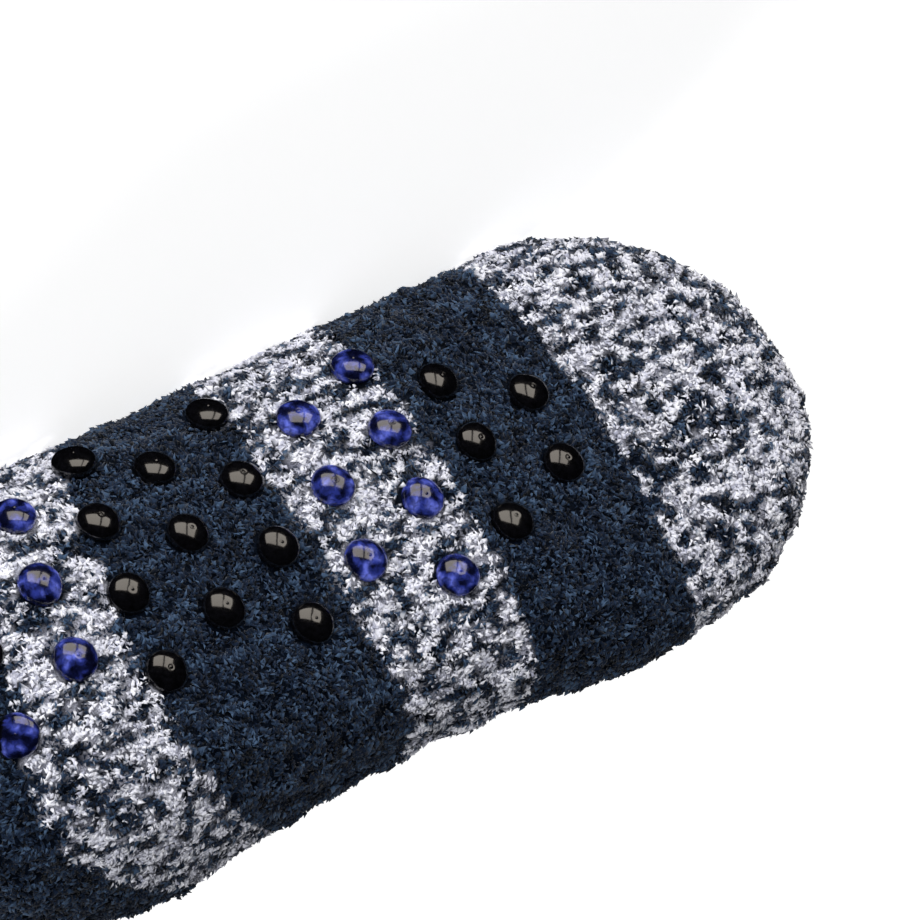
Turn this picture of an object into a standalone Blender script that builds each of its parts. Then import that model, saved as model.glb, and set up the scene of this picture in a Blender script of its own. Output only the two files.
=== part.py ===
"""A slipper sock lying on its side, knitted whole, with moulded grip dots on its sole. Metres, +Z up.

The toe points along -X, the sole faces -Y, the leg runs along +Y, and the sock rests on its side at z = 0.
"""

import math
from collections import namedtuple

import bmesh
import bpy
import numpy as np
from mathutils import Matrix, Vector

# Sizes of the foot
FOOT_LENGTH = 0.250
BALL_WIDTH = 0.104
INSTEP_HEIGHT = 0.0645
TOE_RADIUS = 0.049
TOE_DEPTH_RADIUS = 0.024
HEEL_RADIUS = 0.046

# Sizes of the leg
SOLE_TO_COLLAR = 0.205
LEG_DEPTH = 0.088
LEG_WIDTH = 0.081
ANKLE_BEND_RADIUS = 0.030
HEEL_OVERHANG = 0.009
COLLAR_FLARE = 0.004

# Sizes of the knitted wall
WALL = 0.0030
CUFF_WALL = 0.0042
CUFF_HEIGHT = 0.028
CUFF_STEP = 0.0012
FLOOR_FLAT = 0.0013

# Sizes of the moulded grip dots
GRIP_DIAMETER = 0.0092
GRIP_HEIGHT = 0.0030
GRIP_SKIRT = 0.0008
GRIP_GAP = 0.0003
GRIP_FIRST = 0.0752  # along the sole from the toe tip
GRIP_PITCH_ALONG = 0.0190
GRIP_PITCH_ACROSS = 0.0184
GRIP_COLUMNS = (2, 3, 4, 3, 4, 3, 4, 3, 4, 3)
GRIP_OFF_MIDDLE = -0.0011  # of the first column, where the sock has rolled as it lies
GRIP_ASKEW = -4.2  # degrees between the dots' rows and the foot
GRIP_LEAN = 9.2  # degrees between the dots' columns and straight across
GRIP_SEGMENTS = 16

# Fineness of the loft
RING_POINTS = 32
TOE_RINGS = 9
BALL_RINGS = 4
INSTEP_RINGS = 6
HEEL_RINGS = 15
LEG_RINGS = 7
CUFF_RINGS = 3
OUTLINE_POINTS = 40

# How the sections turn and curve
INSTEP_SLOPE = 20  # degrees, where the instep meets the ankle bend
BEND_FROM = 0.28  # share of FOOT_LENGTH at which the sections begin to lean
TOE_START = 0.16  # radians round the toe, from its tip to the first ring
ACROSS_SOLE = 0.75 * math.pi
SOLE_ROUNDNESS = 2.6
UPPER_ROUNDNESS = 2.15

# The foot between toe and instep: shares of FOOT_LENGTH, of half BALL_WIDTH and of INSTEP_HEIGHT
FootRow = namedtuple("FootRow", "along half_width sole top")
FOOT_ROWS = (
    FootRow(0.00, 0.93, 0.05, 0.44),
    FootRow(0.14, 0.95, 0.05, 0.57),
    FootRow(0.30, 0.98, 0.04, 0.70),
    FootRow(0.42, 0.94, 0.00, 0.84),
    FootRow(0.54, 0.92, 0.02, 1.00),
    FootRow(0.70, 0.92, 0.00, 1.00),
)
HEEL_HALF_WIDTH = 0.925  # share of half BALL_WIDTH, at the fullest of the heel
BELLY = 0.52  # height of a section's widest line, as a share of its depth


def smooth_table(rows, column, at):
    """One column of a table of rows, read smoothly at the stations asked for."""
    known = np.array([row.along for row in rows])
    values = np.array([getattr(row, column) for row in rows])
    slopes = np.gradient(values, known)
    at = np.clip(at, known[0], known[-1])
    place = np.clip(np.searchsorted(known, at, side="right") - 1, 0, len(known) - 2)
    span = known[place + 1] - known[place]
    share = (at - known[place]) / span
    start = (1 + 2 * share) * (1 - share) ** 2 * values[place] + share * (1 - share) ** 2 * span * slopes[place]
    end = share**2 * (3 - 2 * share) * values[place + 1] + share**2 * (share - 1) * span * slopes[place + 1]
    return start + end


def rounded(distance, radius):
    """The share of its full size that a rounded end has at a distance from its tip."""
    return np.sqrt(1 - (1 - np.clip(distance / radius, 0, 1)) ** 2)


def eased(share):
    """A smooth step from 0 to 1."""
    share = np.clip(share, 0, 1)
    return share * share * (3 - 2 * share)


def height_of(column, along):
    return smooth_table(FOOT_ROWS, column, along / FOOT_LENGTH) * INSTEP_HEIGHT


def half_width_of(along):
    return smooth_table(FOOT_ROWS, "half_width", along / FOOT_LENGTH) * BALL_WIDTH / 2


def leg_front():
    """The leg's front line, as a distance from the toe tip."""
    return FOOT_LENGTH - HEEL_OVERHANG - LEG_DEPTH


def bend_pivot():
    """The middle of the ankle bend, in front of the leg and above the instep, seen from the side."""
    slope = math.radians(INSTEP_SLOPE)
    along = leg_front() - ANKLE_BEND_RADIUS
    instep = float(height_of("top", along + ANKLE_BEND_RADIUS * math.sin(slope)))
    return np.array([along, instep + ANKLE_BEND_RADIUS * math.cos(slope)])


def back_outline():
    """The outline from the ball along the sole, round the heel and up the back of the leg, seen from the side."""
    heel = FOOT_LENGTH - HEEL_RADIUS
    along = np.linspace(BEND_FROM * FOOT_LENGTH, heel, OUTLINE_POINTS)
    sole = np.stack([along, height_of("sole", along) * (1 - eased((along / heel - 0.75) / 0.25))], axis=1)
    turn = np.linspace(-math.pi / 2, 0, OUTLINE_POINTS)[1:]
    arc = np.stack([heel + HEEL_RADIUS * np.cos(turn), HEEL_RADIUS * (1 + np.sin(turn))], axis=1)
    rise = np.linspace(HEEL_RADIUS, SOLE_TO_COLLAR, OUTLINE_POINTS)[1:]
    tuck = eased((rise - HEEL_RADIUS) / (SOLE_TO_COLLAR - HEEL_RADIUS) * 2.2)
    back = np.stack([FOOT_LENGTH - HEEL_OVERHANG * tuck, rise], axis=1)
    return np.concatenate([sole, arc, back])


def fan(turns):
    """Back and front points of rings that fan round the ankle bend, at angles from upright."""
    pivot = bend_pivot()
    reach = back_outline() - pivot
    seen = np.arctan2(reach[:, 0], -reach[:, 1])
    outward = np.stack([np.sin(turns), -np.cos(turns)], axis=1)
    far = np.interp(turns, seen, np.hypot(reach[:, 0], reach[:, 1]))
    return pivot + outward * far[:, None], pivot + outward * ANKLE_BEND_RADIUS


def foot_rings():
    """Back point, front point and half width of each ring from the toe tip to the instep."""
    toe = TOE_RADIUS * (1 - np.cos(np.linspace(TOE_START, math.pi / 2, TOE_RINGS)))
    level = np.concatenate([toe, np.linspace(TOE_RADIUS, BEND_FROM * FOOT_LENGTH, BALL_RINGS + 1)[1:]])
    fold_back, fold_front = (points[0] for points in fan(np.array([math.radians(INSTEP_SLOPE)])))
    share = np.linspace(0, 1, INSTEP_RINGS + 1)[1:]
    ease_in = BEND_FROM * FOOT_LENGTH
    sole_at = np.concatenate([level, ease_in + (fold_back[0] - ease_in) * share])
    top_at = np.concatenate([level, ease_in + (fold_front[0] - ease_in) * share])
    sole, top = height_of("sole", sole_at), height_of("top", top_at)
    middle = (sole + top) / 2
    depth = (top - sole) / 2 * rounded(top_at, TOE_DEPTH_RADIUS)
    half = half_width_of((sole_at + top_at) / 2) * rounded(top_at, TOE_RADIUS)
    return np.stack([sole_at, middle - depth], axis=1), np.stack([top_at, middle + depth], axis=1), half


def heel_rings():
    """The rings that fan round the ankle bend, from the foot's last ring to the leg's first."""
    start = math.radians(INSTEP_SLOPE)
    share = np.linspace(0, 1, HEEL_RINGS + 1)[1:]
    back, front = fan(start + (math.pi / 2 - start) * share)
    fold_back, fold_front = (points[0] for points in fan(np.array([start])))
    ankle = half_width_of((fold_back[0] + fold_front[0]) / 2)
    heel = HEEL_HALF_WIDTH * BALL_WIDTH / 2
    half = ankle + (heel - ankle) * eased(share * 2) + (LEG_WIDTH / 2 - heel) * eased(share * 2 - 1)
    return back, front, half


def leg_rings():
    """The rings up the leg to the collar, with the cuff's step."""
    low = bend_pivot()[1]
    cuff = SOLE_TO_COLLAR - CUFF_HEIGHT
    leg = np.linspace(low, cuff, LEG_RINGS + 1)[1:]
    rise = np.concatenate([leg, np.linspace(cuff + CUFF_STEP, SOLE_TO_COLLAR, CUFF_RINGS)])
    step = np.where(rise > cuff, CUFF_STEP, 0)
    flare = COLLAR_FLARE * eased((rise - low) / (SOLE_TO_COLLAR - low))
    leg_back = back_outline()[-OUTLINE_POINTS:]
    back = np.stack([np.interp(rise, leg_back[:, 1], leg_back[:, 0]) + step, rise], axis=1)
    front = np.stack([leg_front() - flare - step, rise], axis=1)
    return back, front, (LEG_WIDTH + flare) / 2 + step


class Surface:
    """The outer surface of the sock: a smooth function of ring number and angle round the ring."""

    def __init__(self):
        parts = [foot_rings(), heel_rings(), leg_rings()]
        self.back, self.front, self.half = (np.concatenate([part[k] for part in parts]) for k in range(3))
        self.rings = len(self.half)
        toe_full = float(half_width_of(TOE_RADIUS))
        self.centre = np.where(self.front[:, 0] < TOE_RADIUS, toe_full, self.half) - FLOOR_FLAT

    def sizes(self, ring):
        """Back point, front point, half width and middle's level at ring numbers, whole or not."""
        numbers = np.arange(self.rings)
        back, front = (
            np.stack([np.interp(ring, numbers, side[:, k]) for k in (0, 1)], axis=-1)
            for side in (self.back, self.front)
        )
        return back, front, np.interp(ring, numbers, self.half), np.interp(ring, numbers, self.centre)

    def points(self, ring, turn):
        """Points in the object's frame. Turn 0 is the sole or the back, half a turn is the front."""
        ring, turn = np.broadcast_arrays(np.asarray(ring, float), np.asarray(turn, float))
        back, front, half, centre = self.sizes(ring)
        belly = back + (front - back) * BELLY
        cosine, sine = np.cos(turn), np.sin(turn)
        power = 2 / np.where(cosine > 0, SOLE_ROUNDNESS, UPPER_ROUNDNESS)
        out = np.where((cosine > 0)[..., None], back, front) - belly
        across = belly + out * (np.abs(cosine) ** power)[..., None]
        level = centre + half * np.sign(sine) * np.abs(sine) ** power
        return in_object_frame(across[..., 0], across[..., 1], np.maximum(0, level))

    def ring_at(self, along):
        """The ring number at a distance from the toe tip, measured along the sole's middle line."""
        steps = np.linalg.norm(np.diff(self.back, axis=0), axis=1)
        distance = self.back[0, 0] + np.concatenate([[0], np.cumsum(steps)])
        return float(np.interp(along, distance, np.arange(self.rings)))

    def turn_at(self, ring, offset):
        """The turn round a ring at which the surface lies a given distance from the sole's middle line."""
        turns = np.linspace(0, ACROSS_SOLE, OUTLINE_POINTS)
        side = -1 if offset < 0 else 1
        steps = np.linalg.norm(np.diff(self.points(ring, side * turns), axis=0), axis=1)
        return side * float(np.interp(abs(offset), np.concatenate([[0], np.cumsum(steps)]), turns))


def in_object_frame(along, height, level):
    """Distance from the toe tip, height over the sole and level over the floor, with the origin mid-footprint."""
    proud = GRIP_GAP + GRIP_HEIGHT
    return np.stack([along - FOOT_LENGTH / 2, height - (SOLE_TO_COLLAR - proud) / 2, level], axis=-1)


def clear_scene():
    for thing in list(bpy.data.objects):
        bpy.data.objects.remove(thing, do_unlink=True)


def collection(name):
    made = bpy.data.collections.new(name)
    bpy.context.scene.collection.children.link(made)
    return made


def material(name, colour, roughness):
    made = bpy.data.materials.new(name)
    made.use_nodes = True
    shader = made.node_tree.nodes["Principled BSDF"]
    shader.inputs["Base Color"].default_value = (*colour, 1.0)
    shader.inputs["Roughness"].default_value = roughness
    shader.inputs["Metallic"].default_value = 0.0
    made.diffuse_color = (*colour, 1.0)
    return made


def make_sock_body(surface, group):
    """The knitted body: a loft from the toe to the collar, given its wall by Solidify."""
    mesh = bmesh.new()
    turns = np.arange(RING_POINTS) * 2 * math.pi / RING_POINTS
    rings = [[mesh.verts.new(point) for point in surface.points(ring, turns)] for ring in range(surface.rings)]
    tip_back, tip_front, _, tip_level = surface.sizes(0)
    tip = mesh.verts.new(in_object_frame(0.0, (tip_back[1] + tip_front[1]) / 2, tip_level))
    for k in range(RING_POINTS):
        after = (k + 1) % RING_POINTS
        mesh.faces.new((tip, rings[0][after], rings[0][k]))
        for lower, upper in zip(rings, rings[1:]):
            mesh.faces.new((lower[k], lower[after], upper[after], upper[k]))
    bmesh.ops.recalc_face_normals(mesh, faces=mesh.faces)
    data = bpy.data.meshes.new("sock_body")
    mesh.to_mesh(data)
    mesh.free()
    body = bpy.data.objects.new("sock_body", data)
    group.objects.link(body)
    data.materials.append(material("knitted_yarn", (0.03, 0.045, 0.08), 0.95))
    data.shade_smooth()
    weights = body.vertex_groups.new(name="wall")
    first_cuff = (surface.rings - CUFF_RINGS) * RING_POINTS
    thin = [k for k in range(len(data.vertices)) if not first_cuff <= k < surface.rings * RING_POINTS]
    weights.add(thin, WALL / CUFF_WALL, "REPLACE")
    weights.add(list(range(first_cuff, surface.rings * RING_POINTS)), 1.0, "REPLACE")
    wall = body.modifiers.new("wall", "SOLIDIFY")
    wall.thickness = CUFF_WALL
    wall.offset = -1.0
    wall.use_even_offset = False
    wall.vertex_group = "wall"
    return body


def grip_profile_mesh():
    """Half the outline of a moulded dot, from its crown at the axis down to its base."""
    radius = GRIP_DIAMETER / 2
    crown = [math.radians(angle) for angle in (90, 62, 36, 12)]
    outline = [(radius * math.cos(a), GRIP_SKIRT + (GRIP_HEIGHT - GRIP_SKIRT) * math.sin(a)) for a in crown]
    outline[0] = (0.0, GRIP_HEIGHT)
    outline += [(radius, GRIP_SKIRT * 0.5), (radius * 0.96, 0.0), (0.0, 0.0)]
    data = bpy.data.meshes.new("grip_dot")
    edges = [(k, k + 1) for k in range(len(outline) - 1)]
    data.from_pydata([(x, 0.0, z) for x, z in outline], edges, [])
    return data


def outward(surface, ring, turn):
    """The surface's outward direction, from its slopes along and round the sock."""
    along = np.subtract(*surface.points([ring + 0.25, ring - 0.25], turn))
    round_it = np.subtract(*surface.points(ring, [turn + 0.02, turn - 0.02]))
    normal = Vector(np.cross(along, round_it)).normalized()
    sole, instep = surface.points(ring, [0, math.pi])
    return normal if normal.dot(Vector(sole - instep)) > 0 else -normal


def make_grip_dots(surface, group):
    """Columns of dots across the sole, set half a pitch apart from one column to the next."""
    data = grip_profile_mesh()
    data.materials.append(material("clear_blue_gel", (0.01, 0.012, 0.05), 0.12))
    number = 0
    for column, count in enumerate(GRIP_COLUMNS):
        for place in range(count):
            number += 1
            middle = GRIP_OFF_MIDDLE + column * GRIP_PITCH_ALONG * math.tan(math.radians(GRIP_ASKEW))
            across = middle + (place - (count - 1) / 2) * GRIP_PITCH_ACROSS
            along = GRIP_FIRST + column * GRIP_PITCH_ALONG + across * math.tan(math.radians(GRIP_LEAN))
            ring = surface.ring_at(along)
            turn = surface.turn_at(ring, across)
            normal = outward(surface, ring, turn)
            dot = bpy.data.objects.new(f"grip_dot_{number:02d}", data)
            group.objects.link(dot)
            seat = Matrix.Translation(Vector(surface.points(ring, turn)) + normal * GRIP_GAP)
            dot.matrix_world = seat @ normal.to_track_quat("Z", "Y").to_matrix().to_4x4()
            turning = dot.modifiers.new("turned", "SCREW")
            turning.steps = GRIP_SEGMENTS
            turning.render_steps = GRIP_SEGMENTS
            turning.use_merge_vertices = True
            turning.merge_threshold = 0.0001


def main():
    clear_scene()
    group = collection("slipper_sock")
    surface = Surface()
    make_sock_body(surface, group)
    make_grip_dots(surface, group)


main()
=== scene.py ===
"""Looks of a slipper sock in striped chenille yarn, with clear grip dots on its sole. Metres, frame's axes.

The toe points along -X, the sole faces -Y, the leg runs along +Y, and the sock lies on its side at z = 0.
"""

import math

import bmesh
import bpy
import numpy as np
from mathutils import Matrix, Vector, noise
from mathutils.bvhtree import BVHTree


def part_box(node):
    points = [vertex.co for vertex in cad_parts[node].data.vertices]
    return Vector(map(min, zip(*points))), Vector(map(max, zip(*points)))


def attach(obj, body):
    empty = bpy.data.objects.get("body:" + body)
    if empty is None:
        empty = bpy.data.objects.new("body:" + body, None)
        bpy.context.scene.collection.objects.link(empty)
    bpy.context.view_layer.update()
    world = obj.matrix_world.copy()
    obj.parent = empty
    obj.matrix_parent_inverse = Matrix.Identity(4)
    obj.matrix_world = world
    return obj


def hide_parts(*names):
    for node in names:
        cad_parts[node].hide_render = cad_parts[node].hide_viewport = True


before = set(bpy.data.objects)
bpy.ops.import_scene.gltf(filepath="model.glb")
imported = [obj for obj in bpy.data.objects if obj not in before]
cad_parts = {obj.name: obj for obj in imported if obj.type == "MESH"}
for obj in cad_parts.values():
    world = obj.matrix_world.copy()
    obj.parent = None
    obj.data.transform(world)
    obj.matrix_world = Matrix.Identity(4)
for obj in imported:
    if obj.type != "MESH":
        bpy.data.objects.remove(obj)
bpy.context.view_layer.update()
body_low, body_high = (np.array(corner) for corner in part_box("sock_body"))

MM = 0.001
IMAGE_SIZE = 920  # pixels, the picture's width and height

# The sock's own sizes, as it was knitted
HEEL_RADIUS = 46 * MM
HEEL_OVERHANG = 9 * MM
FOOT_LENGTH = float(body_high[0] - body_low[0])
PIVOT_ALONG = 123 * MM  # middle of the ankle bend, from the toe tip
PIVOT_HEIGHT = 92.3 * MM  # middle of the ankle bend, over the sole
INSTEP_LEAN = math.radians(20)
LEAN_FROM = 70 * MM
MIDDLE_LEVEL = 48 * MM
CUFF_HEIGHT = 28 * MM

# Where each band of yarn ends, along the sole and up the leg, and how far the edge leans across the foot
BAND_EDGES = (
    (58.5 * MM, 0.0),
    (102 * MM, 0.03),
    (140 * MM, 0.01),
    (191 * MM, 0.18),
    (220.5 * MM, 0.45),
    (268 * MM, 0.30),
    (306 * MM, 0.20),
    (346 * MM, 0.10),
    (384 * MM, 0.04),
)
BAND_RAGGED = 2.2 * MM
BAND_RAGGED_SIZE = 4 * MM
SPECKLE_LONG = 4.4 * MM
SPECKLE_WIDE = 2.4 * MM
SPECKLE_CRISP = 14  # how sharply white yarn turns into navy
SPECKLE_FINER = 2.2  # times smaller, the second size of speckle
SPECKLE_FINE_SHARE = 0.45

# Colours of the yarns and the gel. Each yarn's shade and light colours are painted shade and painted
# highlight, darker and lighter copies of that yarn.
NAVY_PAINTED_SHADE = "#070B12"
NAVY = "#172337"
NAVY_PAINTED_HIGHLIGHT = "#435873"
WHITE_PAINTED_SHADE = "#A8AABC"
WHITE = "#DCDDE8"
WHITE_PAINTED_HIGHLIGHT = "#F2F2F8"
GEL_BLACK = "#050507"
GEL_BLUE_SHADE = "#06081E"
GEL_BLUE = "#232D74"
GEL_BLUE_LIGHT = "#5560B8"

# The pile
PILE_PIECES = ("pile_toe", "pile_ball", "pile_arch", "pile_heel", "pile_leg")
PILE_PIECE_TUFTS = 42000
ROOT_SURPLUS = 1.1  # times as many roots as tufts, because roots under a dot are dropped
PILE_SUNK = 0.9 * MM
TUFT_LENGTH = 2.0 * MM
CUFF_TUFT_LENGTH = 1.5 * MM
TUFT_LENGTHS = (0.7, 1.3)  # from, to, times the length above
TUFT_RADIUS = 0.31 * MM
TUFT_RADII = (0.7, 1.25)  # from, to, times the radius above
TUFT_ARCH = 0.30 * MM
TUFT_WIDEST = 0.60  # share of its length
TUFT_CURL = 0.24  # bend to a side, times its length
TUFT_BOW = 0.16  # bend outward, times its length
TUFT_ROOT_DEPTH = 0.35 * MM
TUFT_SOFTNESS = 0.25
TUFT_RISE = (0.30, 1.05)  # radians
WHITE_WIDER = 1.2
NAVY_WIDER = 0.95
STRAY_SHARE = 0.03
STRAY_RISE = (0.6, 1.0)  # radians
STRAY_WIDER = 0.55
SWIRL = 4.0 * MM
SWIRL_PULL = 1.6
LOOSE_PULL = 0.60
HEELWARD_PULL = 0.45
DOT_PULL = 1.1
CLUMP = 3.2 * MM
CLUMP_LONGER = 0.25
# Painted light and shade in the pile: tufts lighter where clumps stand higher and darker where they are low,
# with a random spread of tone
CLUMP_PAINTED_LIGHT = 0.42
LIGHT_MIDDLE = 0.46
LIGHT_SPREAD = 0.24
# Painted shade at the tufts' roots and a painted highlight at their tips
ROOT_PAINTED_SHADE = 0.45
TIP_PAINTED_HIGHLIGHT = 1.08
# Painted shade on the ground under the pile
GROUND_PAINTED_SHADE = 0.9
OFF_FLOOR = 0.05 * MM

# The knitting's own unevenness
CUFF_RIBS = 46
CUFF_RIB_HIGH = 0.55 * MM
CUFF_CALMER = 0.3
LEG_MIDDLE = (197 * MM, 42 * MM)  # from the toe, and over the floor
RIB_PITCH = 5.0 * MM
RIB_LONG = 14 * MM
RIB_HIGH = 0.35 * MM
LUMP = 7 * MM
LUMP_HIGH = 1.25 * MM
CREASE_SHARPNESS = 2.2

# The grip dots. A profile's points are out and up, in shares of the radius and the height.
DOT_RADIUS = 4.95 * MM
DOT_HEIGHT = 2.5 * MM
DOT_OFF_KNIT = 0.3 * MM
DOT_STEPS = 32
DOT_COMBED = 2.2 * MM
DOT_NUB = [(0.0, 1.035), (0.03, 1.035), (0.055, 1.0), (0.085, 0.975), (0.115, 0.992)]
DOT_DOME_DEGREES = (13, 21, 30, 39, 48, 57, 66, 75, 83)
DOT_SKIRT = [(1.0, 0.02), (1.005, -0.12), (0.97, -0.52), (0.0, -0.52)]
DOT_SEES_IN = 0.35  # of the way to its rim lies the yarn that a place on a dot shows
GEL_PATCH = 2.5 * MM
GEL_FLECK = 1.2 * MM

# The camera
VIEW_AZIMUTH = math.radians(34.2)
VIEW_ELEVATION = math.radians(16.1)
VIEW_ROLL = math.radians(145.45)
VIEW_DISTANCE = 1.576
PIXELS_PER_METRE = 4549
LOOKED_AT_PIXEL = (422.5, 512.8)
LOOKED_AT = Vector((-0.025, -0.08085, 0.049))

# The lights. The glint is what a dot mirrors of the window: its size and place on the dot, and its dark bar.
GLINT_WIDE = 5.8 * MM
GLINT_HIGH = 3.3 * MM
GLINT_BAR = 0.42 * MM
GLINT_BAR_PLACE = 0.62
GLINT_ASIDE = -0.45 * MM
GLINT_ABOVE = -0.65 * MM
WINDOW_RADIANCE = 3.0
WINDOW_COLOUR = "#FFF6EA"
WINDOW_DISTANCE = 0.9
SIDE_RADIANCE = 2.6
SIDE_DISTANCE = 1.2
KEY_RADIANCE = 150
KEY_AZIMUTH = math.radians(33)
KEY_ELEVATION = math.radians(10.5)
KEY_DISTANCE = 1.8
REAR_RADIANCE = 4.0
REAR_DISTANCE = 1.4
REAR_DIRECTION = Vector((0.15, 0.9, 0.38)).normalized()
ROOM_RADIANCE = 0.15
FLOOR_GLOW = 0.71

rng = np.random.default_rng(7)


def linear(code):
    """An sRGB hex colour as linear red, green and blue."""
    parts = [int(code[k : k + 2], 16) / 255 for k in (1, 3, 5)]
    return np.array([c / 12.92 if c <= 0.04045 else ((c + 0.055) / 1.055) ** 2.4 for c in parts])


def eased(share):
    share = np.clip(share, 0, 1)
    return share * share * (3 - 2 * share)


def noise_at(points, scale, shift=0.0):
    """Smooth noise from about -1 to 1 on a grid of the given size. Each shift gives a pattern of its own."""
    return np.array([noise.noise(point) for point in ((points + shift) / scale).tolist()])


def as_arrays(data):
    """A mesh's points, triangles and point normals."""
    data.calc_loop_triangles()
    points = np.empty(len(data.vertices) * 3)
    data.vertices.foreach_get("co", points)
    triangles = np.empty(len(data.loop_triangles) * 3, dtype=np.int64)
    data.loop_triangles.foreach_get("vertices", triangles)
    normals = np.empty(len(data.vertices) * 3)
    data.vertices.foreach_get("normal", normals)
    return points.reshape(-1, 3), triangles.reshape(-1, 3), normals.reshape(-1, 3)


def heel_courses():
    """Turns round the ankle bend, and the length along sole, heel and leg at which each meets the outline."""
    steps = 12
    start = PIVOT_ALONG + PIVOT_HEIGHT * math.tan(INSTEP_LEAN)
    middle = FOOT_LENGTH - HEEL_RADIUS
    sole = [(along, 0.0) for along in np.linspace(start, middle, steps)]
    arc = [
        (middle + HEEL_RADIUS * math.cos(turn), HEEL_RADIUS + HEEL_RADIUS * math.sin(turn))
        for turn in np.linspace(-math.pi / 2, 0, 2 * steps)[1:]
    ]
    heights = np.linspace(HEEL_RADIUS, PIVOT_HEIGHT, steps)[1:]
    overhangs = HEEL_OVERHANG * eased(np.arange(1, steps) / (steps - 1))
    back = list(zip(FOOT_LENGTH - overhangs, heights))
    outline = np.array(sole + arc + back)
    lengths = np.linalg.norm(np.diff(outline, axis=0), axis=1)
    reach = outline - [PIVOT_ALONG, PIVOT_HEIGHT]
    return np.arctan2(reach[:, 0], -reach[:, 1]), start + np.concatenate([[0], np.cumsum(lengths)])


HEEL_TURNS, HEEL_LENGTHS = heel_courses()


def course(points):
    """How far along the knitted tube each point lies: along the sole, round the heel and up the leg."""
    along = points[:, 0] - body_low[0]
    height = points[:, 1] - body_low[1]
    turn = np.arctan2(along - PIVOT_ALONG, PIVOT_HEIGHT - height)
    lean_to = HEEL_LENGTHS[0]
    foot = along.copy()
    for _ in range(4):
        lean = INSTEP_LEAN * np.clip((foot - LEAN_FROM) / (lean_to - LEAN_FROM), 0, 1)
        foot = along + height * np.tan(lean)
    heel = np.interp(turn, HEEL_TURNS, HEEL_LENGTHS)
    leg = HEEL_LENGTHS[-1] + height - PIVOT_HEIGHT
    on_leg = (height > PIVOT_HEIGHT) & (along > PIVOT_ALONG)
    return np.where(on_leg, leg, np.where(turn > INSTEP_LEAN, heel, foot))


def speckled(points):
    """True where the knitting is in the speckled yarn, false where it is in the plain one."""
    at = course(points) + BAND_RAGGED * noise_at(points, BAND_RAGGED_SIZE)
    level = points[:, 2] - MIDDLE_LEVEL
    passed = sum((at > edge + lean * level).astype(int) for edge, lean in BAND_EDGES)
    return passed % 2 == 0


def whiteness(points):
    """How white the yarn is: over 0 in short white streaks along the foot, and under 0 in all navy."""
    streak = np.array([SPECKLE_LONG, SPECKLE_WIDE, SPECKLE_WIDE])
    field = noise_at(points, streak) + SPECKLE_FINE_SHARE * noise_at(points, streak / SPECKLE_FINER, 0.31)
    return np.where(speckled(points), field, -1.0)


# Creases, as soft troughs and ridges, in mm. Each end says how far from the toe, over the sole and the floor.
CREASES = (
    {"name": "ball trough", "start": (96, 1, 38), "end": (113, 1, 43), "wide": 4.5, "deep": 2.8},
    {"name": "ball ridge", "start": (60, 2, 44), "end": (118, 1, 39), "wide": 11, "deep": -1.0},
    {"name": "arch hollow", "start": (128, 1, 70), "end": (190, 2, 62), "wide": 15, "deep": 1.2},
    {"name": "side fold", "start": (95, 26, 95), "end": (150, 34, 92), "wide": 11, "deep": 2.0},
    {"name": "side notch", "start": (108, 10, 90), "end": (122, 40, 92), "wide": 7, "deep": 1.6},
    {"name": "instep fold", "start": (138, 60, 16), "end": (142, 64, 78), "wide": 8, "deep": 2.4},
    {"name": "ankle fold", "start": (150, 78, 10), "end": (150, 80, 74), "wide": 7, "deep": 3.0},
    {"name": "ankle crease", "start": (168, 70, 84), "end": (150, 92, 60), "wide": 8, "deep": 2.2},
    {"name": "heel pucker", "start": (240, 62, 20), "end": (244, 66, 72), "wide": 9, "deep": 1.6},
    {"name": "leg fold", "start": (168, 120, 82), "end": (214, 112, 80), "wide": 9, "deep": 2.2},
    {"name": "leg slack", "start": (152, 132, 20), "end": (154, 140, 66), "wide": 12, "deep": 1.8},
    {"name": "leg ridge", "start": (236, 120, 24), "end": (242, 150, 60), "wide": 14, "deep": -1.2},
)


def crease_depth(points):
    """How far each point sinks along the sock's inward direction."""
    origin = np.array([body_low[0], body_low[1], 0.0])
    depth = np.zeros(len(points))
    for crease in CREASES:
        start = origin + np.array(crease["start"]) * MM
        line = origin + np.array(crease["end"]) * MM - start
        share = np.clip((points - start) @ line / (line @ line), 0, 1)
        gap = np.linalg.norm(points - start - share[:, None] * line, axis=1)
        depth += crease["deep"] * MM * np.exp(-((gap / (crease["wide"] * MM)) ** 2) * CREASE_SHARPNESS)
    return depth


def on_cuff(points):
    return points[:, 1] > body_high[1] - CUFF_HEIGHT


def unevenness(points):
    """The slack and lumps of soft knitting, and the faint ribs that its wales make along the foot."""
    ribs = np.array([RIB_LONG, RIB_PITCH / 2, RIB_PITCH / 2])
    turn = np.arctan2(points[:, 2] - LEG_MIDDLE[1], points[:, 0] - body_low[0] - LEG_MIDDLE[0])
    cuff_rib = CUFF_RIB_HIGH * np.cos(CUFF_RIBS * turn)
    loose = LUMP_HIGH * noise_at(points, LUMP, 0.53) + RIB_HIGH * noise_at(points, ribs, 0.11)
    return np.where(on_cuff(points), CUFF_CALMER * loose + cuff_rib, loose)


def add_node(tree, kind, links=(), **settings):
    """Adds a shader node with its settings, and links its sockets: (socket, from node, from socket)."""
    made = tree.nodes.new(kind)
    for name, value in settings.items():
        if name.startswith("in_"):
            made.inputs[name[3:].replace("_", " ")].default_value = value
        else:
            setattr(made, name, value)
    for socket, source, out in links:
        tree.links.new(source.outputs[out], made.inputs[socket])
    return made


def new_material(name):
    made = bpy.data.materials.new(name)
    made.use_nodes = True
    tree = made.node_tree
    return made, tree, tree.nodes["Principled BSDF"]


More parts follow.
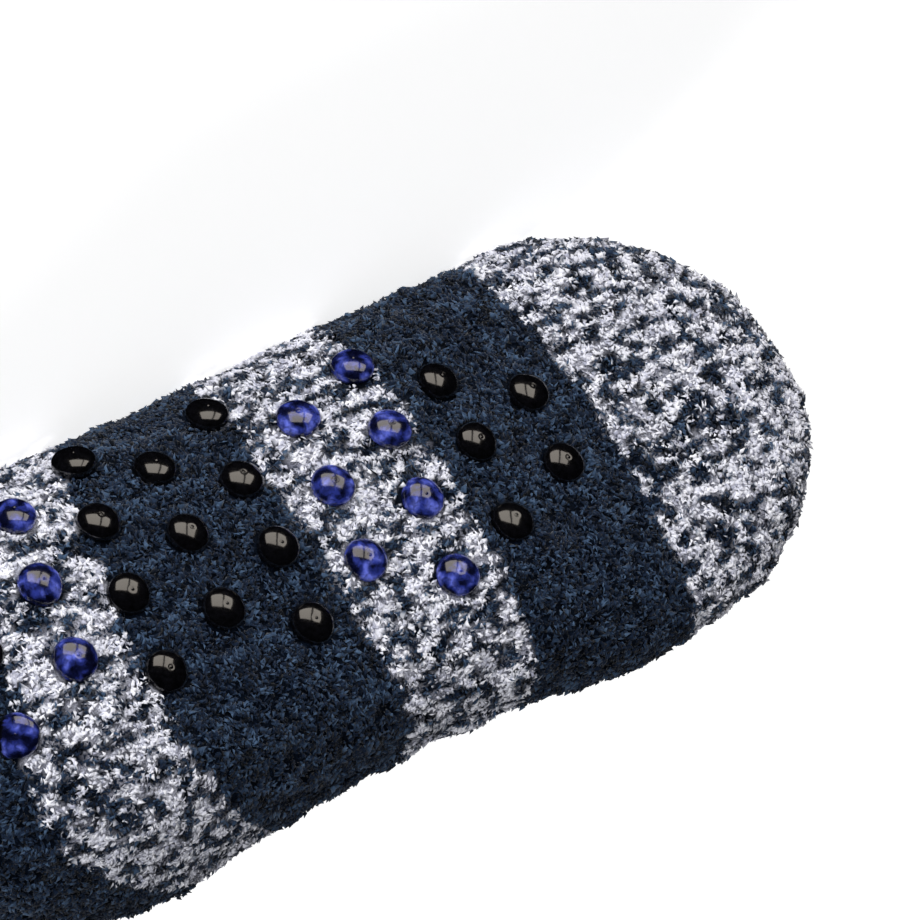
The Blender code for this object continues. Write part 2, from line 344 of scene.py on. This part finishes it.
def chenille_pile():
    """Brushed polyester chenille: matt, with a soft sheen where fibres catch the light at a glance."""
    made, tree, shader = new_material("brushed_chenille_pile")
    colour = add_node(tree, "ShaderNodeAttribute", attribute_name="yarn")
    tree.links.new(colour.outputs["Color"], shader.inputs["Base Color"])
    shader.inputs["Roughness"].default_value = 0.82
    shader.inputs["Specular IOR Level"].default_value = 0.15
    shader.inputs["Sheen Weight"].default_value = 0.10
    shader.inputs["Sheen Roughness"].default_value = 0.45
    return made


def knitted_ground():
    """The knitted ground under the pile: matt loops 1.2 mm apart, which also show inside the leg, with
    painted shade in the hollows between strands.
    """
    made, tree, shader = new_material("knitted_polyester_ground")
    colour = add_node(tree, "ShaderNodeAttribute", attribute_name="yarn")
    place = add_node(tree, "ShaderNodeTexCoord")
    loops = add_node(
        tree, "ShaderNodeTexVoronoi", [("Vector", place, "Object")], in_Scale=1 / (1.2 * MM)
    )
    strands = add_node(
        tree,
        "ShaderNodeTexNoise",
        [("Vector", place, "Object")],
        in_Scale=1 / (0.9 * MM),
        in_Detail=2.0,
        in_Distortion=2.2,
    )
    # Painted shade: the yarn colour is darkened where the strand noise runs low, in the hollows of the bump
    # below
    depth = add_node(
        tree, "ShaderNodeMapRange", [("Value", strands, 0)],
        in_From_Min=0.32, in_From_Max=0.66, in_To_Min=0.3, in_To_Max=1.15,
    )
    shade = add_node(tree, "ShaderNodeVectorMath", operation="SCALE")
    tree.links.new(colour.outputs["Color"], shade.inputs[0])
    tree.links.new(depth.outputs[0], shade.inputs["Scale"])
    tree.links.new(shade.outputs[0], shader.inputs["Base Color"])
    loop_bump = add_node(
        tree, "ShaderNodeBump", [("Height", loops, "Distance")], in_Strength=0.6, in_Distance=0.5 * MM
    )
    bump = add_node(
        tree,
        "ShaderNodeBump",
        [("Height", strands, 0), ("Normal", loop_bump, "Normal")],
        in_Strength=0.8,
        in_Distance=0.5 * MM,
    )
    tree.links.new(bump.outputs["Normal"], shader.inputs["Normal"])
    shader.inputs["Roughness"].default_value = 0.95
    shader.inputs["Specular IOR Level"].default_value = 0.15
    return made


def moulded_gel():
    """Clear tinted silicone, dropped on the knit: glossy, near black over navy and royal blue over white."""
    made, tree, shader = new_material("poured_silicone_gel")
    colour = add_node(tree, "ShaderNodeAttribute", attribute_name="yarn")
    place = add_node(tree, "ShaderNodeTexCoord")
    fibres = add_node(
        tree,
        "ShaderNodeTexNoise",
        [("Vector", place, "Object")],
        in_Scale=1 / (1.1 * MM),
        in_Detail=3.0,
        in_Distortion=0.8,
    )
    depth = add_node(
        tree, "ShaderNodeMapRange", [("Value", fibres, 0)],
        in_From_Min=0.35, in_From_Max=0.65, in_To_Min=0.45, in_To_Max=1.35,
    )
    tint = add_node(tree, "ShaderNodeVectorMath", operation="SCALE")
    tree.links.new(colour.outputs["Color"], tint.inputs[0])
    tree.links.new(depth.outputs[0], tint.inputs["Scale"])
    tree.links.new(tint.outputs[0], shader.inputs["Base Color"])
    ripple = add_node(
        tree, "ShaderNodeTexNoise", [("Vector", place, "Object")], in_Scale=1 / (2.6 * MM), in_Detail=1.0
    )
    bump = add_node(
        tree, "ShaderNodeBump", [("Height", ripple, 0)], in_Strength=0.12, in_Distance=0.3 * MM
    )
    tree.links.new(bump.outputs["Normal"], shader.inputs["Normal"])
    shader.inputs["Roughness"].default_value = 0.16
    shader.inputs["IOR"].default_value = 1.43
    shader.inputs["Coat Weight"].default_value = 1.0
    shader.inputs["Coat Roughness"].default_value = 0.04
    shader.inputs["Coat IOR"].default_value = 1.43
    return made


def paint(data, colours):
    """Writes one linear colour for each point of a mesh, for its material to read."""
    layer = data.color_attributes.new("yarn", "FLOAT_COLOR", "POINT")
    values = np.ones((len(colours), 4))
    values[:, :3] = colours
    layer.data.foreach_set("color", values.ravel())


def mixed(low, high, share):
    return low + (high - low) * share[:, None]


def ramp(share, middle, shade, plain, light):
    """Colours from a painted shade to a painted highlight, with the plain one at the middle share."""
    darker = mixed(linear(shade), linear(plain), share / middle)
    lighter = mixed(linear(plain), linear(light), (share - middle) / (1 - middle))
    return np.where((share < middle)[:, None], darker, lighter)


def finish_piece(name, data, material, replaced):
    """Links a finished mesh as a piece of the sock."""
    piece = bpy.data.objects.new(name, data)
    bpy.context.scene.collection.objects.link(piece)
    data.materials.append(material)
    data.shade_smooth()
    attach(piece, "root")
    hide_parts(*replaced)


def ground_mesh():
    """The sock's wall, copied from the frame's own node, merged, made of quads again and smoothed."""
    mesh = bmesh.new()
    mesh.from_mesh(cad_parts["sock_body"].data)
    bmesh.ops.remove_doubles(mesh, verts=mesh.verts, dist=0.02 * MM)
    bmesh.ops.join_triangles(
        mesh, faces=mesh.faces, angle_face_threshold=math.pi, angle_shape_threshold=math.pi
    )
    data = bpy.data.meshes.new("sock_ground")
    mesh.to_mesh(data)
    mesh.free()
    cage = bpy.data.objects.new("cage", data)
    bpy.context.scene.collection.objects.link(cage)
    smooth = cage.modifiers.new("smooth", "SUBSURF")
    smooth.levels = 2
    smooth.render_levels = 2
    fine = bpy.data.meshes.new_from_object(cage.evaluated_get(bpy.context.evaluated_depsgraph_get()))
    bpy.data.objects.remove(cage)
    return fine


def outer_faces(data):
    """The faces on the outside of the wall: the larger of the two sheets that meet at the collar's rim."""
    mesh = bmesh.new()
    mesh.from_mesh(data)
    mesh.faces.ensure_lookup_table()
    rim = max(vertex.co.y for vertex in mesh.verts) - 0.4 * MM
    seen = {face.index for face in mesh.faces if face.calc_center_median().y > rim}
    sheets = []
    for start in mesh.faces:
        if start.index in seen:
            continue
        seen.add(start.index)
        sheet = []
        waiting = [start]
        while waiting:
            face = waiting.pop()
            sheet.append(face.index)
            for edge in face.edges:
                for other in edge.link_faces:
                    if other.index not in seen:
                        seen.add(other.index)
                        waiting.append(other)
        sheets.append(sheet)
    areas = [sum(mesh.faces[k].calc_area() for k in sheet) for sheet in sheets]
    largest = set(sheets[int(np.argmax(areas))])
    mesh.free()
    return largest


def outer_triangles(data, outer):
    """The triangles of a mesh that belong to the given faces."""
    _, triangles, _ = as_arrays(data)
    owner = np.empty(len(data.loop_triangles), dtype=np.int64)
    data.loop_triangles.foreach_get("polygon_index", owner)
    return triangles[np.isin(owner, list(outer))]


def make_ground(data, outer):
    """Sinks the outside of the wall to make room for the pile, and presses the creases into both sheets."""
    points, _, normals = as_arrays(data)
    on_outside = np.zeros(len(points), bool)
    for face in data.polygons:
        if face.index in outer:
            on_outside[list(face.vertices)] = True
    outward = np.where(on_outside[:, None], normals, -normals)
    sink = crease_depth(points) + np.where(on_outside, PILE_SUNK + unevenness(points), 0)
    moved = points - outward * sink[:, None]
    moved[:, 2] = np.maximum(moved[:, 2], 2 * OFF_FLOOR)
    data.vertices.foreach_set("co", moved.ravel())
    data.update()
    white = whiteness(points) > 0
    # Painted shade under the pile: the ground takes the darker part of each yarn's range and is darkened
    # again as a whole
    shade = rng.random(len(points)) * 0.6
    navy = mixed(linear(NAVY_PAINTED_SHADE), linear(NAVY), shade)
    pale = mixed(linear(WHITE_PAINTED_SHADE), linear(WHITE), shade)
    paint(data, np.where(white[:, None], pale, navy) * GROUND_PAINTED_SHADE)
    finish_piece("knitted_ground", data, knitted_ground(), ["sock_body"])


def dot_seats(tree):
    """The middle and outward direction of each grip dot, from its node and the creased ground under it."""
    ring = ((1, 0, 0), (-1, 0, 0), (0, 0, 1), (0, 0, -1), (0.7, 0, 0.7), (-0.7, 0, -0.7))
    seats = {}
    for name in sorted(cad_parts):
        if name.startswith("grip_dot"):
            low, high = (np.array(corner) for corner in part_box(name))
            place, normal, _, _ = tree.find_nearest(Vector((low + high) / 2))
            around = [tree.find_nearest(place + Vector(shift) * 3 * MM)[1] for shift in ring]
            mean = sum(around, normal.copy()).normalized()
            seats[name] = (place + mean * (PILE_SUNK + DOT_OFF_KNIT), mean)
    return seats


def pile_roots(data, outer, seats):
    """Random roots over the outside of the ground, with normals, and none under a grip dot."""
    points, _, normals = as_arrays(data)
    triangles = outer_triangles(data, outer)
    corners = points[triangles]
    area = np.linalg.norm(np.cross(corners[:, 1] - corners[:, 0], corners[:, 2] - corners[:, 0]), axis=1)
    wanted = len(PILE_PIECES) * PILE_PIECE_TUFTS
    total = int(wanted * ROOT_SURPLUS)
    chosen = rng.choice(len(triangles), total, p=area / area.sum())
    weights = rng.dirichlet((1, 1, 1), total)
    roots = (corners[chosen] * weights[:, :, None]).sum(axis=1)
    directions = unit((normals[triangles[chosen]] * weights[:, :, None]).sum(axis=1))
    clear = np.ones(total, bool)
    for middle, _ in seats.values():
        clear &= np.linalg.norm(roots - np.array(middle), axis=1) > DOT_RADIUS
    return roots[clear][:wanted], directions[clear][:wanted]


def unit(vectors):
    return vectors / np.linalg.norm(vectors, axis=1)[:, None]


def tuft_flow(roots, outward, seats):
    """Which way each tuft lies on the surface: in swirls, partly at random, and away from the dots."""
    drift = np.stack([noise_at(roots, SWIRL, shift) for shift in (0.0, 0.17, 0.41)], axis=1)
    loose = rng.normal(size=(len(roots), 3)) * LOOSE_PULL
    flow = drift * SWIRL_PULL + loose + np.array([HEELWARD_PULL, 0.0, 0.0])
    for middle, _ in seats.values():
        away = roots - np.array(middle)
        gap = np.linalg.norm(away, axis=1)
        flow += np.where(gap < DOT_RADIUS + DOT_COMBED, DOT_PULL / gap, 0)[:, None] * away
    return unit(flow - (flow * outward).sum(axis=1)[:, None] * outward)


def tuft_colours(share, clump):
    """Colours for the four points of each tuft, from how white its two ends and its middle are, with painted
    shade and painted highlight in them.
    """
    # Painted light and shade: each tuft lies between its yarn's painted shade and painted highlight, lighter
    # in higher clumps, darker in low ones, plus a random spread of tone
    light = LIGHT_MIDDLE + CLUMP_PAINTED_LIGHT * clump + rng.normal(size=len(clump)) * LIGHT_SPREAD
    light = np.clip(light, 0, 1)
    navy = ramp(light, 0.5, NAVY_PAINTED_SHADE, NAVY, NAVY_PAINTED_HIGHLIGHT)
    pale = ramp(light, 0.4, WHITE_PAINTED_SHADE, WHITE, WHITE_PAINTED_HIGHLIGHT)
    share = share[:, [0, 1, 2, 2], None]
    colour = navy[:, None, :] + (pale - navy)[:, None, :] * share
    # Painted shade at the root and a painted highlight at the tip of each tuft
    along = np.array([ROOT_PAINTED_SHADE, TIP_PAINTED_HIGHLIGHT, 1.0, 1.0])
    return (colour * along[None, :, None]).reshape(-1, 3)


def make_tufts(roots, outward, seats):
    """Points, triangles and colours of short arched tufts. Each is closed and pointed at both ends."""
    count = len(roots)
    flow = tuft_flow(roots, outward, seats)
    rise = rng.uniform(*TUFT_RISE, count)
    stray = rng.random(count) < STRAY_SHARE
    rise = np.where(stray, rng.uniform(*STRAY_RISE, count), rise)
    ahead = unit(flow * np.cos(rise)[:, None] + outward * np.sin(rise)[:, None])
    clump = noise_at(roots, CLUMP, 0.7)
    size = rng.uniform(*TUFT_LENGTHS, count) * (1 + CLUMP_LONGER * clump)
    length = np.where(on_cuff(roots), CUFF_TUFT_LENGTH, TUFT_LENGTH) * size
    base = roots - outward * TUFT_ROOT_DEPTH
    tip = base + ahead * length[:, None]
    side = unit(np.cross(ahead, outward))
    over = np.cross(side, ahead)
    curl = rng.normal(size=count) * TUFT_CURL * length
    bend = side * curl[:, None] + over * (TUFT_BOW * length)[:, None]
    middle = base + ahead * (length * TUFT_WIDEST)[:, None] + bend
    share = np.stack([whiteness(place) for place in (base, tip, middle)], axis=1)
    share = eased(0.5 + SPECKLE_CRISP * share)
    wider = np.where(stray, STRAY_WIDER, 1.0) * np.where(share[:, 2] > 0.5, WHITE_WIDER, NAVY_WIDER)
    radius = TUFT_RADIUS * rng.uniform(*TUFT_RADII, count) * wider
    left = middle + side * radius[:, None] + over * TUFT_ARCH
    right = middle - side * radius[:, None] + over * TUFT_ARCH
    points = np.stack([base, tip, left, right], axis=1)
    points[:, :, 2] = np.maximum(points[:, :, 2], OFF_FLOOR)
    pattern = np.array([(0, 2, 3), (1, 3, 2), (0, 1, 2), (0, 3, 1)])
    triangles = (pattern[None] + 4 * np.arange(count)[:, None, None]).reshape(-1, 3)
    return points.reshape(-1, 3), triangles, tuft_colours(share, clump)


def mesh_of(name, points, triangles):
    data = bpy.data.meshes.new(name)
    data.vertices.add(len(points))
    data.vertices.foreach_set("co", points.ravel())
    data.loops.add(len(triangles) * 3)
    data.loops.foreach_set("vertex_index", triangles.ravel())
    data.polygons.add(len(triangles))
    data.polygons.foreach_set("loop_start", np.arange(len(triangles)) * 3)
    data.update(calc_edges=True)
    return data


def soften(data, outward):
    """Turns the shading of each tuft part of the way to the sock's surface, as soft pile looks."""
    _, _, own = as_arrays(data)
    around = np.repeat(outward, 4, axis=0)
    data.normals_split_custom_set_from_vertices(unit(own + (around - own) * TUFT_SOFTNESS).tolist())


def make_pile(data, outer, seats):
    """The pile, as five joined meshes from the toe to the collar."""
    roots, outward = pile_roots(data, outer, seats)
    order = np.argsort(course(roots))
    material = chenille_pile()
    for name, mine in zip(PILE_PIECES, np.array_split(order, len(PILE_PIECES))):
        points, triangles, colours = make_tufts(roots[mine], outward[mine], seats)
        made = mesh_of(name, points, triangles)
        paint(made, colours)
        finish_piece(name, made, material, ["sock_body"])
        soften(made, outward[mine])


def dot_mesh():
    """A slightly uneven drop with a thin skirt, a shallow ring and a tiny nub where the nozzle left it."""
    turns = np.radians(DOT_DOME_DEGREES)
    crown = DOT_NUB + list(zip(np.sin(turns).tolist(), np.cos(turns).tolist())) + DOT_SKIRT
    mesh = bmesh.new()
    line = [mesh.verts.new((DOT_RADIUS * out, 0, DOT_HEIGHT * up)) for out, up in crown]
    edges = [mesh.edges.new(pair) for pair in zip(line, line[1:])]
    bmesh.ops.spin(
        mesh, geom=line + edges, cent=(0, 0, 0), axis=(0, 0, 1), angle=math.tau, steps=DOT_STEPS,
        use_merge=True, use_duplicate=False,
    )
    bmesh.ops.remove_doubles(mesh, verts=mesh.verts, dist=0.005 * MM)
    bmesh.ops.recalc_face_normals(mesh, faces=mesh.faces)
    wobble = rng.uniform(0.98, 1.02, 2)
    phase = rng.uniform(0, math.tau)
    for vertex in mesh.verts:
        turn = math.atan2(vertex.co.y, vertex.co.x)
        out = 1 + 0.012 * math.sin(3 * turn + phase) + 0.008 * math.sin(5 * turn + 2 * phase)
        vertex.co.x *= out * wobble[0]
        vertex.co.y *= out * wobble[1]
    return mesh


def dot_colours(points, middle):
    """Black over plain navy yarn, and patchy blue where the speckled yarn shows through."""
    over_speckle = speckled(middle + DOT_SEES_IN * (points - middle))
    field = noise_at(points, GEL_PATCH) + 0.4 * noise_at(points, GEL_FLECK)
    blue = mixed(linear(GEL_BLUE_SHADE), linear(GEL_BLUE), eased((field + 0.28) / 0.42))
    blue = blue + (linear(GEL_BLUE_LIGHT) - blue) * eased((field - 0.14) / 0.45)[:, None]
    return np.where(over_speckle[:, None], blue, linear(GEL_BLACK))


def make_dot(name, middle, normal, material):
    """One grip dot, seated on the knit."""
    mesh = dot_mesh()
    turned = normal.to_track_quat("Z", "Y").to_matrix().to_4x4()
    bmesh.ops.transform(mesh, matrix=turned, verts=mesh.verts)
    bmesh.ops.translate(mesh, vec=middle, verts=mesh.verts)
    data = bpy.data.meshes.new(name.replace("grip_dot", "gel_dot"))
    mesh.to_mesh(data)
    mesh.free()
    points, _, _ = as_arrays(data)
    paint(data, dot_colours(points, np.array(middle)))
    finish_piece(data.name, data, material, [name])


def make_stage():
    """A plain pale floor that reads as white and still takes a soft shadow."""
    bpy.ops.mesh.primitive_plane_add(size=40, location=(0, 0, -OFF_FLOOR))
    floor = bpy.context.object
    floor.name = "floor"
    made, _, shader = new_material("pale_floor")
    shader.inputs["Base Color"].default_value = (0.9, 0.9, 0.9, 1)
    shader.inputs["Roughness"].default_value = 0.9
    shader.inputs["Specular IOR Level"].default_value = 0.0
    shader.inputs["Emission Color"].default_value = (1, 1, 1, 1)
    shader.inputs["Emission Strength"].default_value = FLOOR_GLOW
    floor.data.materials.append(made)
    floor.visible_glossy = False
    floor.visible_shadow = False


def view_axes():
    """The camera's backward, right and up directions."""
    a, e, r = VIEW_AZIMUTH, VIEW_ELEVATION, VIEW_ROLL
    back = Vector((math.sin(a) * math.cos(e), -math.cos(a) * math.cos(e), math.sin(e)))
    level = Vector((math.cos(a), math.sin(a), 0))
    upright = back.cross(level)
    right = level * math.cos(r) + upright * math.sin(r)
    return back, right, back.cross(right)


def make_camera():
    back, right, up = view_axes()
    middle = IMAGE_SIZE / 2
    aim = LOOKED_AT + right * ((middle - LOOKED_AT_PIXEL[0]) / PIXELS_PER_METRE)
    aim += up * ((LOOKED_AT_PIXEL[1] - middle) / PIXELS_PER_METRE)
    data = bpy.data.cameras.new("camera")
    data.sensor_width = 36
    data.lens = data.sensor_width * PIXELS_PER_METRE * VIEW_DISTANCE / IMAGE_SIZE
    data.clip_end = 100
    camera = bpy.data.objects.new("camera", data)
    bpy.context.scene.collection.objects.link(camera)
    camera.location = aim + back * VIEW_DISTANCE
    camera.rotation_mode = "QUATERNION"
    camera.rotation_quaternion = Matrix((right, up, back)).transposed().to_quaternion()
    bpy.context.scene.camera = camera


def glint_direction(normal, across, high):
    """Where light comes from that a dot mirrors to the camera, at a place on the dome as it is seen."""
    back, right, up = view_axes()
    level = (right - normal * right.dot(normal)).normalized()
    steep = normal.cross(level) * (1 if normal.cross(level).dot(up) > 0 else -1)
    slope = DOT_HEIGHT / DOT_RADIUS
    lean_across = slope * (across / DOT_RADIUS) / math.sqrt(1 - (across / DOT_RADIUS) ** 2)
    lean_high = slope * (high / DOT_RADIUS) / math.sqrt(1 - (high / DOT_RADIUS) ** 2)
    turned = (normal + level * lean_across + steep * lean_high).normalized()
    return turned * (2 * turned.dot(back)) - back


def softbox(name, aim, centre, wide, high, distance, radiance):
    """A rectangular softbox that faces the sock. Wide and high span it, as seen from one metre away."""
    data = bpy.data.lights.new(name, "AREA")
    data.shape = "RECTANGLE"
    data.size = wide.length * distance
    data.size_y = high.length * distance
    data.energy = radiance * math.pi * data.size * data.size_y
    lamp = bpy.data.objects.new(name, data)
    bpy.context.scene.collection.objects.link(lamp)
    lamp.location = aim + centre.normalized() * distance
    backward = centre.normalized()
    level = (wide - backward * wide.dot(backward)).normalized()
    turned = Matrix((level, backward.cross(level), backward)).transposed()
    lamp.rotation_mode = "QUATERNION"
    lamp.rotation_quaternion = turned.to_quaternion()
    lamp.visible_camera = False
    return lamp


def make_window(normal):
    """Two panes of a softbox side by side, where the dots mirror them to the camera."""
    aside, above = GLINT_ASIDE, GLINT_ABOVE
    middle = glint_direction(normal, aside, above)
    wide = glint_direction(normal, aside + GLINT_WIDE / 2, above)
    wide -= glint_direction(normal, aside - GLINT_WIDE / 2, above)
    high = glint_direction(normal, aside, above + GLINT_HIGH / 2)
    high -= glint_direction(normal, aside, above - GLINT_HIGH / 2)
    bar = GLINT_BAR / GLINT_WIDE
    for name, start, end in (
        ("window_left", -0.5, GLINT_BAR_PLACE - 0.5 - bar / 2),
        ("window_right", GLINT_BAR_PLACE - 0.5 + bar / 2, 0.5),
    ):
        pane = wide * (end - start)
        lamp = softbox(name, LOOKED_AT, middle, pane, high, WINDOW_DISTANCE, WINDOW_RADIANCE)
        lamp.location += wide * ((start + end) / 2 * WINDOW_DISTANCE)
        lamp.data.color = linear(WINDOW_COLOUR)


def make_soft_lights():
    """A broad light from a side, a low key beside the camera and one behind the leg. The dots mirror none."""
    back, right, up = view_axes()
    slant = (up * 0.55 - right * 0.5 + back * 0.65).normalized()
    across = slant.cross(up).normalized()
    side = softbox("side", LOOKED_AT, slant, across * 0.5, up * 0.5, SIDE_DISTANCE, SIDE_RADIANCE)
    toward = Vector((
        math.sin(KEY_AZIMUTH) * math.cos(KEY_ELEVATION),
        -math.cos(KEY_AZIMUTH) * math.cos(KEY_ELEVATION),
        math.sin(KEY_ELEVATION),
    ))
    level = Vector((math.cos(KEY_AZIMUTH), math.sin(KEY_AZIMUTH), 0))
    upright = toward.cross(level)
    key = softbox("key", LOOKED_AT, toward, level * 0.20, upright * 0.06, KEY_DISTANCE, KEY_RADIANCE)
    wide = Vector((0.8, 0, 0))
    high = Vector((0, -0.2, 0.5))
    rear = softbox("rear", LOOKED_AT, REAR_DIRECTION, wide, high, REAR_DISTANCE, REAR_RADIANCE)
    for lamp in (side, key, rear):
        lamp.visible_glossy = False


def make_room():
    """A dim pale room that nothing mirrors."""
    world = bpy.data.worlds.new("studio")
    bpy.context.scene.world = world
    world.use_nodes = True
    shade = world.node_tree.nodes["Background"]
    shade.inputs["Color"].default_value = (0.96, 0.98, 1.0, 1)
    shade.inputs["Strength"].default_value = ROOM_RADIANCE
    world.cycles_visibility.glossy = False
    bpy.context.scene.view_settings.view_transform = "Standard"


def main():
    fine = ground_mesh()
    outer = outer_faces(fine)
    make_ground(fine, outer)
    points, _, _ = as_arrays(fine)
    tree = BVHTree.FromPolygons([Vector(p) for p in points], outer_triangles(fine, outer).tolist())
    seats = dot_seats(tree)
    make_pile(fine, outer, seats)
    gel = moulded_gel()
    for name, (middle, normal) in seats.items():
        make_dot(name, middle, normal, gel)
    make_stage()
    make_camera()
    make_window(sum((normal for _, normal in seats.values()), Vector()).normalized())
    make_soft_lights()
    make_room()


main()
